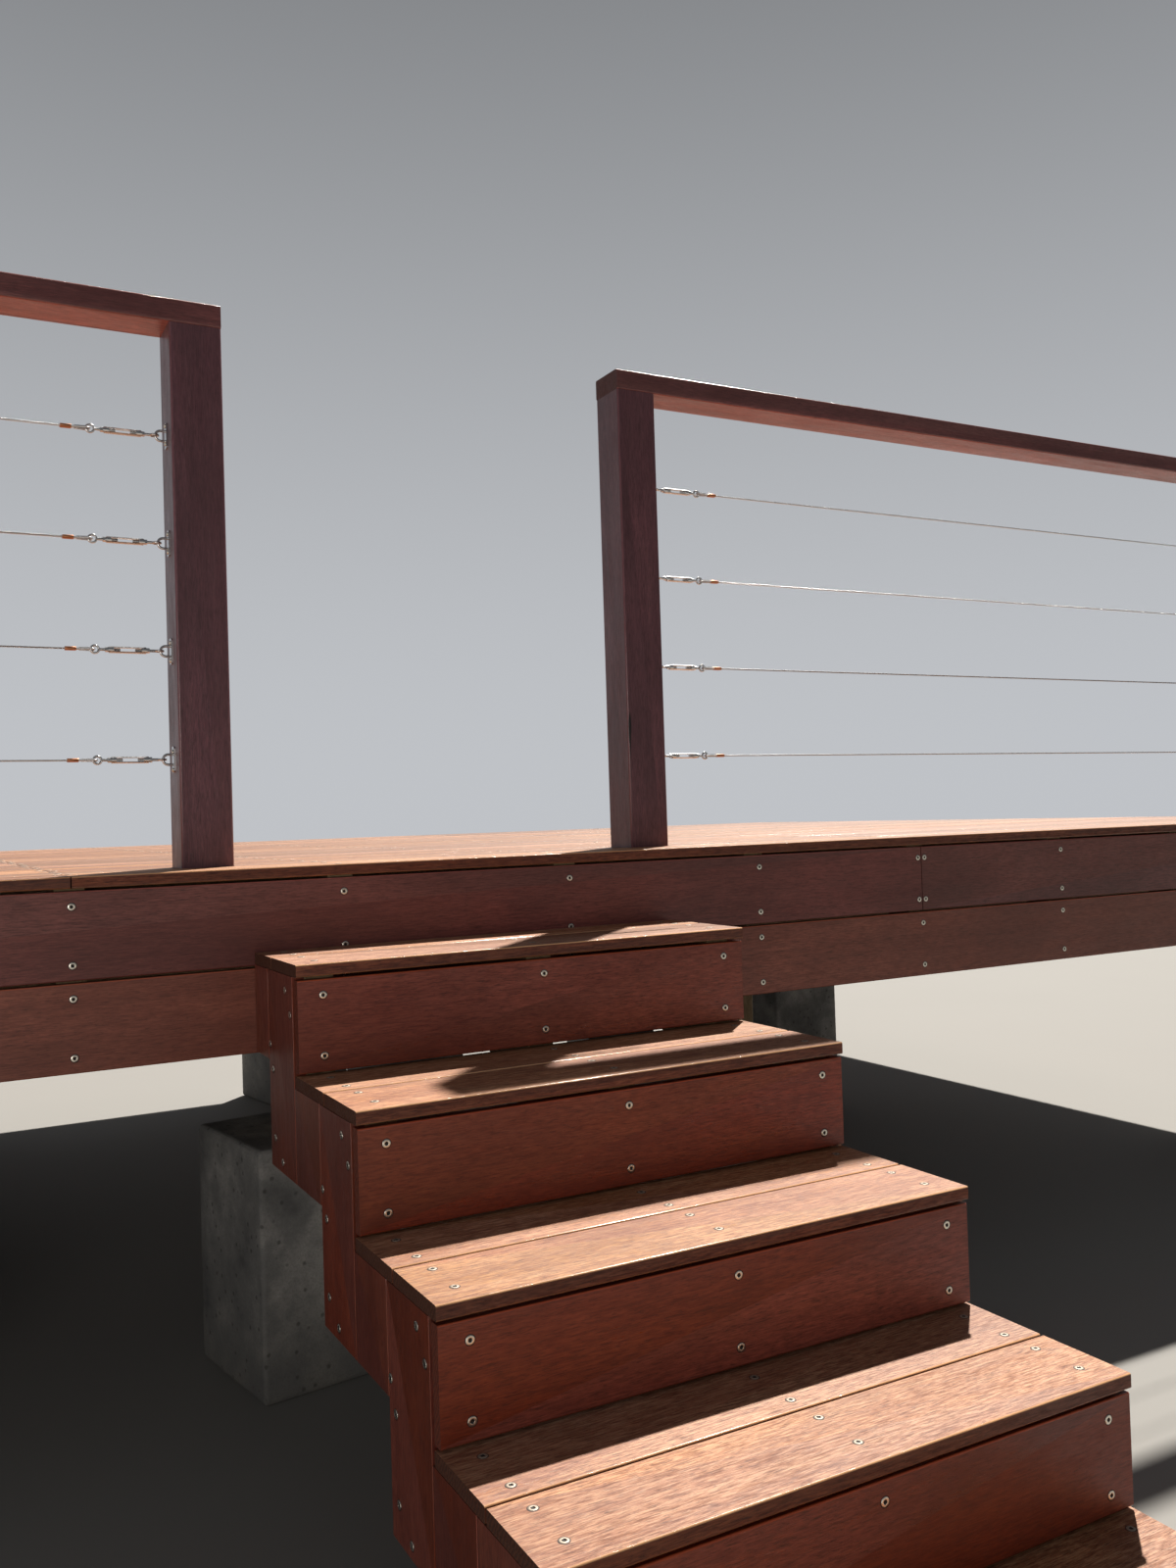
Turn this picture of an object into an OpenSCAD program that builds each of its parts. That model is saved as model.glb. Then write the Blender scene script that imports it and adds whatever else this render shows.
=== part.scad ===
// Low timber deck with a boxed flight of five steps, a stair opening between two posts,
// flat top rails and a taut wire balustrade. Millimetres, Z up, X along the front of the deck.
// The origin lies on the ground under the middle of the flight's footing.

/* [Flight] */
// Width of the flight over its treads
flight_w = 815; // [600:5:1200]
// Number of treads below the deck
steps = 5; // [2:1:6]
// Height from one tread to the next, and from the ground to the lowest tread
rise = 168; // [165:1:190]
// Height from the top tread to the deck
top_rise = 140; // [130:1:160]
// Distance from one nosing to the next
going = 267; // [255:1:268]
// Distance from the deck's fascia to the top nosing
top_going = 248; // [220:1:280]
// How far a nosing stands in front of its riser
nosing = 2; // [0:1:15]
// How far each tread runs past the risers at its ends
end_lip = 2; // [0:1:10]
// Gap between a tread and the riser under it
riser_gap = 5; // [2:1:6]

/* [Boards] */
// Width of the decking boards used all over
board_w = 140; // [120:1:145]
// Thickness of the decking boards
board_t = 19; // [16:1:25]
// Gap between neighbouring boards
board_gap = 4; // [2:1:8]
// Gap at butt joints and beside cladding boards
tight_gap = 2; // [1:0.5:3]
// Overhang of the decking past the fascia
deck_lip = 1; // [0:1:20]
// Pencil round on the long edges of boards
board_round = 2.5; // [1:0.5:5]
// Pencil round on the long edges of posts and rails
post_round = 4; // [1:0.5:10]

/* [Stringers] */
// Thickness of a stringer
stringer_t = 45; // [35:1:60]
// Width of the plank that a stringer is cut from
stringer_w = 240; // [220:5:290]
// How far the middle stringer stands off the middle
middle_shift = 8; // [0:1:60]
// Thickness of the concrete footing under the stringers
footing_h = 50; // [30:5:100]

/* [Deck] */
// Depth of the deck between the outer faces of its front and rear fascias
deck_depth = 3162; // [1500:1:4500]
// Length of deck beyond each end of the flight
deck_side = 2520; // [1500:5:3000]
// Depth of joists and bearers
joist_h = 140; // [120:5:190]
// Thickness of a joist
joist_t = 45; // [35:1:50]
// Distance between joists
joist_pitch = 440; // [400:5:450]
// Distance of one joist from the middle of the flight
joist_offset = 190; // [120:1:220]
// Width of a bearer and of a stump
bearer_w = 90; // [70:1:120]
// Number of bearers from front to back
bearers_n = 3; // [2:1:4]
// How far the outer bearers stand in from the front and rear fascias
bearer_inset = 365; // [300:5:450]
// Distance between piers along the front bearer
pier_pitch = 1020; // [800:5:1200]
// Distance of one front pier from the middle of the flight
pier_offset = 235; // [200:1:500]
// Distance between piers along the other bearers
back_pitch = 1400; // [1200:5:1500]
// Distance of one of those from the middle of the flight
back_offset = 430; // [300:5:600]
// Width of a square concrete pier
pier_w = 300; // [180:5:320]
// Height of a concrete pier
pier_h = 460; // [300:10:600]
// How far the piers are turned off square, to one side and the other in turn
pier_turn = 9; // [0:1:15]
// Depth of the cleats under the joist ends
cleat_w = 70; // [45:1:90]

/* [Balustrade] */
// Height of the rail's top above the deck
rail_top = 1000; // [900:5:1200]
// Thickness of the flat top rail
rail_t = 42; // [30:1:50]
// Side of a square post, and width of the rail
post_w = 90; // [70:1:110]
// Clear opening between the two stair posts
opening_w = 815; // [700:5:1100]
// How far the opening stands to the right of the flight
opening_shift = 5; // [0:1:20]
// Number of wires, equally spaced under the rail
wires_n = 4; // [2:1:9]
// Diameter of a wire
wire_d = 3.2; // [2:0.1:5]

/* [Wire fittings] */
// Height of an eye plate
plate_h = 46; // [40:1:60]
// Width of an eye plate
plate_w = 16; // [14:1:24]
// Thickness of an eye plate
plate_t = 2.5; // [1.5:0.5:4]
// Diameter of the screw holes in an eye plate
plate_hole = 4.5; // [3:0.5:6]
// Diameter of the rod of the plate's bow
bow_rod = 4.5; // [3:0.5:6]
// Mean radius of the bow
bow_r = 9; // [8:0.5:12]
// Length of the bow's straight legs
bow_leg = 8; // [4:1:15]
// Diameter of the rod that the turnbuckle's eyes are bent from
eye_rod = 4; // [3:0.5:5]
// Mean radius of the turnbuckle's eyes
eye_r = 6.5; // [6:0.5:10]
// Length of a turnbuckle's open body
body_l = 66; // [60:1:120]
// Diameter of a turnbuckle's body
body_d = 12; // [11:0.5:16]
// Width of the slot through the body
slot_w = 6.5; // [5.5:0.5:7]
// Length of the solid ends of the body
boss_l = 10; // [8:1:14]
// Diameter of the screwed rods
rod_d = 5; // [4:0.5:5]
// Length of rod between each eye and the body
rod_show = 14; // [11:1:30]
// Length of rod that shows inside the slot
rod_inside = 11; // [5:1:18]
// Width of a lock nut across its flats
nut_w = 8; // [7:0.5:10]
// Thickness of a lock nut
nut_t = 4; // [3:0.5:5]
// Mean radius of the wire round a thimble
loop_r = 6; // [5:0.5:8]
// Length of a thimble from its round end to the ferrule
loop_l = 24; // [18:1:35]
// Length of a crimped ferrule
ferrule_l = 18; // [10:1:25]
// Thickness of a crimped ferrule
ferrule_d = 6.5; // [6:0.5:9]
// Thickness of a ferrule's pressed waist
ferrule_waist = 5; // [4:0.5:5.5]

/* [Hidden] */

// Rounds are fine enough to stay true circles
$fn = 32;

// Colours, as seen on the oiled hardwood, the steel and the concrete
tread_colour = "#a8603c";
riser_colour = "#7c3f2c";
post_colour = "#6b3a32";
frame_colour = "#8b7a5a";
steel_colour = "#b9bcc0";
copper_colour = "#b0643c";
concrete_colour = "#8f8c84";

// Heights above the ground
deck_z = steps * rise + top_rise;
deck_under = deck_z - board_t;
function tread_z(k) = deck_z - top_rise - (k - 1) * rise;
function seat_z(k) = tread_z(k) - board_t;
function riser_top(k) = seat_z(k) - riser_gap;
function riser_bottom(k) = riser_top(k) - board_w;

// Places from front to back: the fascia's face is the datum, the flight lies in front of it
function nosing_y(k) = -top_going - (k - 1) * going;
function riser_y(k) = nosing_y(k) + nosing;
function riser_back(k) = riser_y(k) + board_t;

// The stringers: a saw-tooth cut in a plank that follows the pitch of the flight
pitch_slope = rise / going;
plank_drop = stringer_w * sqrt(1 + pitch_slope * pitch_slope);
pitch_y = riser_back(1);
pitch_z = seat_z(1);
function plank_low(y) = pitch_z + (y - pitch_y) * pitch_slope - plank_drop;
foot_heel = pitch_y + (footing_h - pitch_z + plank_drop) / pitch_slope;
foot_toe = riser_back(steps);
foot_mid = (foot_toe + foot_heel) / 2;
stringer_inset = flight_w / 2 - board_t - stringer_t / 2;

// The upright cladding is fitted tight, so its edges are barely eased
cladding_round = 0.8;
cladding_play = 1;

// The deck's outline and its layers
deck_pitch = board_w + board_gap;
// Whole boards cover the deck, and the rearmost is ripped to fit, though never to a sliver
least_rip = 20;
decked = deck_depth + 2 * deck_lip;
deck_rows = ceil(decked / deck_pitch);
last_row_w = max(least_rip, min(board_w, decked - (deck_rows - 1) * deck_pitch));
deck_half = flight_w / 2 + deck_side;
fascia_top = deck_under - board_gap;
fascia_mid = fascia_top - board_w - board_gap;
joist_z = deck_under - joist_h;
bearer_z = joist_z - joist_h;
frame_depth = deck_depth - 2 * board_t;

// Joists: one pitch after another from the one beside the right stair post, and one at each end
opening_mid = opening_shift;
end_joist = deck_half - board_t - joist_t / 2;
joist_reach = end_joist - post_w - joist_t;
joist_low = -floor((joist_reach + joist_offset) / joist_pitch);
joist_high = floor((joist_reach - joist_offset) / joist_pitch);
inner_joists = [for (j = [joist_low:joist_high]) joist_offset + j * joist_pitch];
joist_x = concat([-end_joist], inner_joists, [end_joist]);

// Boards are butted on joists, two joists out on either side
joint_left = joist_offset - 2 * joist_pitch;
joint_right = joist_offset + 2 * joist_pitch;

// Bearers and the piers under them
bearer_y = [for (b = [0:bearers_n - 1])
    bearer_inset + b * (deck_depth - 2 * bearer_inset) / (bearers_n - 1)];
pier_half = pier_w / 2 * (cos(pier_turn) + sin(pier_turn));
pier_edge = deck_half - board_t - pier_half;
pier_reach = pier_edge - pier_pitch;
pier_low = -floor((pier_reach - pier_offset) / pier_pitch);
pier_high = floor((pier_reach + pier_offset) / pier_pitch);
inner_piers = [for (p = [pier_low:pier_high]) p * pier_pitch - pier_offset];
back_low = -floor((pier_edge + back_offset) / back_pitch);
back_high = floor((pier_edge - back_offset) / back_pitch);
back_piers = [for (p = [back_low:back_high]) p * back_pitch + back_offset];

// Every pier as [x, y, its turn off square]
function turn(i) = (i % 2 == 0) ? pier_turn : -pier_turn;
front_x = concat([-pier_edge], inner_piers, [pier_edge]);
pier_places = [for (j = [0:bearers_n - 1])
    let (row = (j == 0) ? front_x : back_piers)
    for (i = [0:len(row) - 1]) [row[i], bearer_y[j], turn(i + j)]];

// Posts stand behind the front board, in the second row of decking
post_y = -deck_lip + deck_pitch;
post_mid_y = post_y + post_w / 2;
post_top = deck_z + rail_top - rail_t;
stair_post_left = opening_mid - opening_w / 2 - post_w / 2;
stair_post_right = opening_mid + opening_w / 2 + post_w / 2;
end_post = deck_half - board_t - post_w / 2;
post_x = [-end_post, stair_post_left, stair_post_right, end_post];
post_clear = 2;

// Cuts run this far past the faces that they open
past = 1;

// Wires
wire_pitch = (rail_top - rail_t) / (wires_n + 1);
function wire_z(w) = deck_z + w * wire_pitch;

// The chain of fittings from a stair post to its wire: each link hangs in the one before it
link_gap = 0.2;
screw_inset = 7;
plate_screw = plate_h / 2 - screw_inset;
boss_step = 2;
boss_neck = body_d * 0.75;
bow_x = plate_t + bow_leg;
bow_inner = bow_x + bow_r - bow_rod / 2;
near_eye_x = bow_inner - link_gap - eye_rod / 2 + eye_r;
near_rod_x = near_eye_x + eye_r;
body_x = near_rod_x + rod_show;
body_end = body_x + body_l;
far_eye_x = body_end + rod_show + eye_r;
rod_reach = boss_l + rod_inside;
nut_round = nut_w / cos(30);

// A thimble's groove holds the wire with a hair of play
channel_t = 1;
channel_lip = 1.6;
channel_play = 0.2;
channel_w = wire_d + 2 * channel_t + 2 * channel_play;
channel_in = loop_r - wire_d / 2 - channel_t - channel_play / 2;
strand_y = wire_d * 0.75;
loop_turn = atan((loop_r - strand_y) / loop_l);
thimble_leg = loop_l * 0.8;

// The edges of a thimble, half its width from the middle, are what bears on a ring
function bearing(mean_r, rod) = sqrt(pow(mean_r - rod / 2, 2) - pow(channel_w / 2, 2));
function loop_place(mid, mean_r, rod) = mid + bearing(mean_r, rod) - link_gap + channel_in;
loop_x = loop_place(far_eye_x, eye_r, eye_rod);
wire_start = loop_x + loop_l + ferrule_l;

// The far end has no turnbuckle: its thimble hangs in the bow of the eye plate
far_loop_x = loop_place(bow_x, bow_r, bow_rod);
far_wire = far_loop_x + loop_l + ferrule_l;

// Moves the drawing so that the origin is under the middle of the footing
module placed() {
    translate([0, -foot_mid, 0]) children();
}

// A square-edged timber given by its low corner and its size
module timber(x, y, z, l, w, h) {
    translate([x, y, z]) cube([l, w, h]);
}

// The section of a board with pencil-rounded corners
module rounded(w, h, r) {
    translate([r, 0]) square([w - 2 * r, h]);
    translate([0, r]) square([w, h - 2 * r]);
    for (x = [r, w - r], y = [r, h - r])
        translate([x, y]) circle(r);
}

// Boards that run along X, Y and Z, given as timbers are
module board_x(x, y, z, l, w, h, r = board_round) {
    translate([x, y, z]) rotate([90, 0, 90]) linear_extrude(l) rounded(w, h, r);
}

module board_y(x, y, z, l, w, h, r = board_round) {
    translate([x, y + w, z]) rotate([90, 0, 0]) linear_extrude(w) rounded(l, h, r);
}

module board_z(x, y, z, l, w, h, r = board_round) {
    translate([x, y, z]) linear_extrude(h) rounded(l, w, r);
}

// One tread: a full board at the nosing and one behind it, which is ripped narrower at the top
module tread(k) {
    back_w = (k == 1) ? top_going - board_w - 2 * board_gap : board_w;
    color(tread_colour) placed() {
        board_x(-flight_w / 2, nosing_y(k), seat_z(k), flight_w, board_w, board_t);
        board_x(-flight_w / 2, nosing_y(k) + deck_pitch, seat_z(k), flight_w, back_w, board_t);
    }
}

module riser(k) {
    length = flight_w - 2 * end_lip;
    color(riser_colour) placed()
        board_x(-length / 2, riser_y(k), riser_bottom(k), length, board_t, board_w);
}

// A stringer seen from the side, from the fascia down to the footing
module stringer_profile() {
    teeth = [for (k = [1:steps], y = [k == 1 ? 0 : riser_back(k - 1), riser_back(k)]) [y, seat_z(k)]];
    foot = [[foot_toe, footing_h], [foot_heel, footing_h], [0, plank_low(0)]];
    polygon(concat(teeth, foot));
}

module stringer(x) {
    color(frame_colour) placed()
        translate([x - stringer_t / 2, 0, 0])
            rotate([90, 0, 90]) linear_extrude(stringer_t) stringer_profile();
}

// Upright cladding boards on one side: behind each riser a tall board that reaches down to the
// next riser's foot, then a short one up to the riser before
module side_cladding(x) {
    color(riser_colour) placed()
        for (k = [1:steps]) {
            front = riser_back(k) + board_gap;
            split = front + board_w;
            end = (k == 1) ? -tight_gap : riser_back(k - 1) + board_gap - tight_gap;
            low = riser_bottom(min(k + 1, steps));
            top = seat_z(k) - cladding_play;
            back = split + tight_gap;
            short_low = riser_bottom(k);
            board_z(x, front, low, board_t, board_w, top - low, cladding_round);
            board_z(x, back, short_low, board_t, end - back, top - short_low, cladding_round);
        }
}

module stair_footing() {
    length = flight_w - 2 * board_t;
    depth = foot_heel - foot_toe - 2 * tight_gap;
    color(concrete_colour) placed()
        timber(-length / 2, foot_toe + tight_gap, 0, length, depth, footing_h);
}

// A run of boards along X from one end to the other, cut at the joints
module jointed_run(x0, x1, joints, y, z, w, h) {
    cuts = concat([x0 - tight_gap / 2], joints, [x1 + tight_gap / 2]);
    for (c = [1:len(cuts) - 1])
        board_x(cuts[c - 1] + tight_gap / 2, y, z, cuts[c] - cuts[c - 1] - tight_gap, w, h);
}

module deck_front_board() {
    half = deck_half + deck_lip;
    color(tread_colour) placed()
        jointed_run(-half, half, [joint_left], -deck_lip, deck_under, board_w, board_t);
}

// Every other row is cut on another joist, and the second row is notched round the posts
module deck_boards() {
    half = deck_half + deck_lip;
    notch = post_w + 2 * post_clear;
    color(tread_colour) placed()
        difference() {
            for (r = [1:deck_rows - 1]) {
                cut = (r % 2 == 0) ? joint_left : joint_right;
                width = (r < deck_rows - 1) ? board_w : last_row_w;
                jointed_run(-half, half, [cut], -deck_lip + r * deck_pitch, deck_under, width, board_t);
            }
            for (x = post_x)
                translate([x - notch / 2, post_mid_y - notch / 2, deck_under - past])
                    cube([notch, notch, board_t + 2 * past]);
        }
}

module fascia_front(z, joints) {
    color(riser_colour) placed()
        jointed_run(-deck_half, deck_half, joints, 0, z - board_w, board_t, board_w);
}

// The end fascias run between the front and the rear ones
module fascia_end(x) {
    start = board_t + tight_gap;
    color(riser_colour) placed()
        for (z = [fascia_top, fascia_mid])
            board_y(x, start, z - board_w, board_t, deck_depth - 2 * start, board_w);
}

module fascia_rear() {
    y = deck_depth - board_t;
    color(riser_colour) placed()
        for (z = [fascia_top, fascia_mid])
            jointed_run(-deck_half, deck_half, [joint_left], y, z - board_w, board_t, board_w);
}

// A joist that meets a post is cut there
module joists() {
    color(frame_colour) placed()
        difference() {
            for (x = joist_x)
                timber(x - joist_t / 2, board_t, joist_z, joist_t, frame_depth, joist_h);
            for (x = post_x)
                timber(x - post_w / 2, post_y, joist_z - past, post_w, post_w, joist_h + 2 * past);
        }
}

// Short upright cleats under the joist ends carry the lower fascia boards
module fascia_cleats() {
    color(frame_colour) placed()
        for (x = joist_x, y = [board_t, deck_depth - board_t - cleat_w])
            timber(x - joist_t / 2, y, bearer_z, joist_t, cleat_w, joist_h);
}

// Short pieces between two joists, in front of and behind each post
module post_noggings() {
    color(frame_colour) placed()
        for (x = post_x) {
            left = max([for (j = joist_x) if (j < x) j]) + joist_t / 2;
            right = min([for (j = joist_x) if (j > x) j]) - joist_t / 2;
            timber(left, post_y - joist_t, joist_z, right - left, joist_t, joist_h);
            timber(left, post_y + post_w, joist_z, right - left, joist_t, joist_h);
        }
}

module bearers() {
    half = deck_half - board_t;
    color(frame_colour) placed()
        for (y = bearer_y)
            timber(-half, y - bearer_w / 2, bearer_z, 2 * half, bearer_w, joist_h);
}

module stumps() {
    half = bearer_w / 2;
    color(frame_colour) placed()
        for (p = pier_places)
            timber(p.x - half, p.y - half, pier_h, bearer_w, bearer_w, bearer_z - pier_h);
}

module piers() {
    color(concrete_colour) placed()
        for (p = pier_places)
            translate([p.x, p.y, 0]) rotate([0, 0, p.z])
                timber(-pier_w / 2, -pier_w / 2, 0, pier_w, pier_w, pier_h);
}

module post(x) {
    color(post_colour) placed()
        board_z(x - post_w / 2, post_y, joist_z, post_w, post_w, post_top - joist_z, post_round);
}

// A rail lies flat on its two posts, flush with their outer faces
module top_rail(x0, x1) {
    start = x0 - post_w / 2;
    color(post_colour) placed()
        board_x(start, post_y, post_top, x1 - x0 + post_w, post_w, rail_t, post_round);
}

// Puts fittings on the face of a post: side 1 faces +X, side -1 faces -X
module on_post(x, side) {
    for (w = [1:wires_n])
        translate([x + side * post_w / 2, post_mid_y, wire_z(w)])
            rotate([0, 0, side > 0 ? 0 : 180]) children();
}

// A rod bent into part of a ring in the XZ plane, open towards -X, with its middle at x
module bent_rod(x, mean_r, rod, sweep) {
    translate([x, 0, 0]) rotate([90, 0, 0]) rotate([0, 0, -sweep / 2])
        rotate_extrude(angle = sweep, $fn = 24) translate([mean_r, 0]) circle(d = rod, $fn = 16);
}

module rod_x(x, d, l) {
    translate([x, 0, 0]) rotate([0, 90, 0]) cylinder(d = d, h = l);
}

// A plate with two screw holes and a bow that stands off it
module eye_plate() {
    difference() {
        translate([0, -plate_w / 2, -plate_h / 2]) rotate([90, 0, 90])
            linear_extrude(plate_t) rounded(plate_w, plate_h, plate_w / 4);
        for (s = [-1, 1])
            translate([0, 0, s * plate_screw]) rod_x(-past, plate_hole, plate_t + 2 * past);
    }
    for (s = [-1, 1])
        translate([0, 0, s * bow_r]) rod_x(plate_t / 2, bow_rod, bow_x - plate_t / 2);
    bent_rod(bow_x, bow_r, bow_rod, 180);
}

// An open body on two screwed rods with lock nuts; one eye lies flat in the plate's bow, the other
// stands upright for the thimble
module turnbuckle() {
    difference() {
        union() {
            rod_x(body_x + boss_step, body_d, body_l - 2 * boss_step);
            rod_x(body_x, boss_neck, body_l);
        }
        translate([body_x + boss_l, -body_d, -slot_w / 2])
            cube([body_l - 2 * boss_l, 2 * body_d, slot_w]);
    }
    rod_x(near_rod_x - eye_rod / 4, rod_d, rod_show + rod_reach);
    rod_x(body_end - rod_reach, rod_d, rod_show + rod_reach + eye_rod / 4);
    for (x = [body_x - nut_t, body_end])
        translate([x, 0, 0]) rotate([0, 90, 0]) cylinder(d = nut_round, h = nut_t, $fn = 6);
    rotate([90, 0, 0]) bent_rod(near_eye_x, eye_r, eye_rod, 360);
    bent_rod(far_eye_x, eye_r, eye_rod, 360);
}

// Half of a teardrop's outline is a circle, and its straight sides close towards the ferrule
module teardrop(r, l) {
    tip = r - l * tan(loop_turn);
    circle(r);
    polygon([[0, -r], [l, -tip], [l, tip], [0, r]]);
}

// A teardrop-shaped ring in the XY plane, open at its tip, with a groove round it for the wire
module thimble(x) {
    groove_w = wire_d + 2 * channel_play;
    translate([x, 0, 0]) difference() {
        translate([0, 0, -channel_w / 2])
            linear_extrude(channel_w) teardrop(channel_in + channel_t + channel_lip, thimble_leg);
        translate([0, 0, -channel_w / 2 - past])
            linear_extrude(channel_w + 2 * past) teardrop(channel_in, thimble_leg + past);
        translate([0, 0, -groove_w / 2]) linear_extrude(groove_w) difference() {
            square(2 * (loop_l + loop_r), center = true);
            teardrop(channel_in + channel_t, thimble_leg + past);
        }
    }
}

// The wire's end goes round the thimble and back into the ferrule
module wire_loop(x) {
    translate([x, 0, 0]) rotate([0, 0, 90]) rotate_extrude(angle = 180, $fn = 24)
        translate([loop_r, 0]) circle(d = wire_d, $fn = 16);
    difference() {
        for (s = [-1, 1])
            translate([x, s * loop_r, 0]) rotate([0, 90, -s * loop_turn])
                cylinder(d = wire_d, h = loop_l + wire_d);
        translate([x + loop_l, -loop_r, -loop_r]) cube(2 * loop_r);
    }
}

// An oval sleeve pressed round the wire and its tail
module ferrule(x) {
    translate([x, 0, 0]) rotate([90, 0, 90]) linear_extrude(ferrule_l) {
        for (s = [-1, 1])
            translate([s * strand_y, 0]) circle(d = ferrule_d);
        square([2 * strand_y, ferrule_waist], center = true);
    }
}

// One side's wires with their loops: a is the stair post, b the end post, side the way the wires run
module wire_set(a, b, side) {
    span = abs(b - a) - post_w - wire_start - far_wire;
    color(steel_colour) placed() {
        on_post(a, side) rod_x(wire_start, wire_d, span);
        on_post(a, side) wire_loop(loop_x);
        on_post(b, -side) wire_loop(far_loop_x);
    }
}

module eye_plate_set(a, b, side) {
    color(steel_colour) placed() {
        on_post(a, side) eye_plate();
        on_post(b, -side) eye_plate();
    }
}

module turnbuckle_set(a, side) {
    color(steel_colour) placed() on_post(a, side) turnbuckle();
}

module thimble_set(a, b, side) {
    color(steel_colour) placed() {
        on_post(a, side) thimble(loop_x);
        on_post(b, -side) thimble(far_loop_x);
    }
}

module ferrule_set(a, b, side) {
    color(copper_colour) placed() {
        on_post(a, side) ferrule(loop_x + loop_l);
        on_post(b, -side) ferrule(far_loop_x + loop_l);
    }
}

tread(1);  // tread_1
tread(2);  // tread_2
tread(3);  // tread_3
tread(4);  // tread_4
tread(5);  // tread_5
riser(1);  // riser_1
riser(2);  // riser_2
riser(3);  // riser_3
riser(4);  // riser_4
riser(5);  // riser_5
stringer(-stringer_inset);  // stringer_left
stringer(middle_shift);  // stringer_middle
stringer(stringer_inset);  // stringer_right
side_cladding(-flight_w / 2);  // side_cladding_left
side_cladding(flight_w / 2 - board_t);  // side_cladding_right
stair_footing();
deck_front_board();
deck_boards();
fascia_front(fascia_top, [joint_right]);  // fascia_upper
fascia_front(fascia_mid, []);  // fascia_lower
fascia_end(-deck_half);  // fascia_left_end
fascia_end(deck_half - board_t);  // fascia_right_end
fascia_rear();
joists();
post_noggings();
fascia_cleats();
bearers();
stumps();
piers();
post(stair_post_left);  // post_stair_left
post(stair_post_right);  // post_stair_right
post(-end_post);  // post_end_left
post(end_post);  // post_end_right
top_rail(-end_post, stair_post_left);  // top_rail_left
top_rail(stair_post_right, end_post);  // top_rail_right
wire_set(stair_post_left, -end_post, -1);  // wires_left
wire_set(stair_post_right, end_post, 1);  // wires_right
eye_plate_set(stair_post_left, -end_post, -1);  // eye_plates_left
eye_plate_set(stair_post_right, end_post, 1);  // eye_plates_right
turnbuckle_set(stair_post_left, -1);  // turnbuckles_left
turnbuckle_set(stair_post_right, 1);  // turnbuckles_right
thimble_set(stair_post_left, -end_post, -1);  // thimbles_left
thimble_set(stair_post_right, end_post, 1);  // thimbles_right
ferrule_set(stair_post_left, -end_post, -1);  // ferrules_left
ferrule_set(stair_post_right, end_post, 1);  // ferrules_right
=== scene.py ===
import math

import bpy
import numpy as np
from mathutils import Matrix, Vector


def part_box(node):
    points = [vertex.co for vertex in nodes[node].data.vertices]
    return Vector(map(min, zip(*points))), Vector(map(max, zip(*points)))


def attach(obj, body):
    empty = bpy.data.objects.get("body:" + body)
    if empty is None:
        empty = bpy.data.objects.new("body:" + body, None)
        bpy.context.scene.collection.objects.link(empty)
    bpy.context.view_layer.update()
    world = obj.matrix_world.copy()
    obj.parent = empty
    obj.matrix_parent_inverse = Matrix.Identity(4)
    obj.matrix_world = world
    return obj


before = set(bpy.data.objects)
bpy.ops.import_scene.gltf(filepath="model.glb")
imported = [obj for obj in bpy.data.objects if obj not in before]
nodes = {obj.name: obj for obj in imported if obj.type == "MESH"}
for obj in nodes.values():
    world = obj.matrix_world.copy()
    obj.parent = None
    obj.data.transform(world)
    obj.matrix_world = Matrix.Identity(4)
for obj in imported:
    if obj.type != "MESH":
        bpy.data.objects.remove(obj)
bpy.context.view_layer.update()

MM = 0.001
X, Y, Z = 0, 1, 2
UP = (0, 0, 1)

# The CAD nodes that share a look
TREADS = ["tread_%d" % k for k in range(1, 6)]
RISERS = ["riser_%d" % k for k in range(1, 6)]
END_FASCIAS = ["fascia_left_end", "fascia_right_end"]
CLADDING = ["side_cladding_left", "side_cladding_right"]
DECKING = ["deck_front_board", "deck_boards"]
POSTS = ["post_stair_left", "post_stair_right", "post_end_left", "post_end_right"]
RAILS = ["top_rail_left", "top_rail_right"]
STRINGERS = ["stringer_left", "stringer_middle", "stringer_right"]
WIRES = ["wires_left", "wires_right"]

# Where the CAD puts what the screws go into
STRINGER_X = [(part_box(n)[0][0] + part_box(n)[1][0]) / 2 for n in STRINGERS]
DECK_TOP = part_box("deck_boards")[1][2]
FRONT_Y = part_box("fascia_upper")[0][1]
REAR_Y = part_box("fascia_rear")[1][1]
DECK_LOW_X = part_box("fascia_lower")[0][0]
DECK_HIGH_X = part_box("fascia_lower")[1][0]
JOIST_PITCH = 440 * MM
JOIST_OFFSET = 190 * MM
JOIST_T = 45 * MM
JOISTS_EACH_WAY = 8
JOINT_AWAY = 2 * JOIST_PITCH
POST_W = 90 * MM
POST_CLEAR = 10 * MM
POST_ROW = 1
BOARD = 140 * MM
BOARD_T = 19 * MM
BOARD_PITCH = 144 * MM
SAME_LINE = 1 * MM

# Where the screws stand on their boards. Those in the side of one step are given as (distance behind
# the tread's nosing, drop below the tread's top).
SCREW_EDGE = 24 * MM
DECK_SCREW_EDGE = 26 * MM
BUTT_OFFSET = 9.5 * MM
FRONT_BOARD_ROWS = (44 * MM, 114 * MM)
BACK_BOARD_ROWS = (0.17, 0.70)
END_SCREWS = 8
END_MARGIN = 60 * MM
SIDE_SCREWS = [(65, 44), (40, 79), (159, 139), (143, 177), (140, 285), (99, 315)]
SIDE_FOOT = 12 * MM

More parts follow.
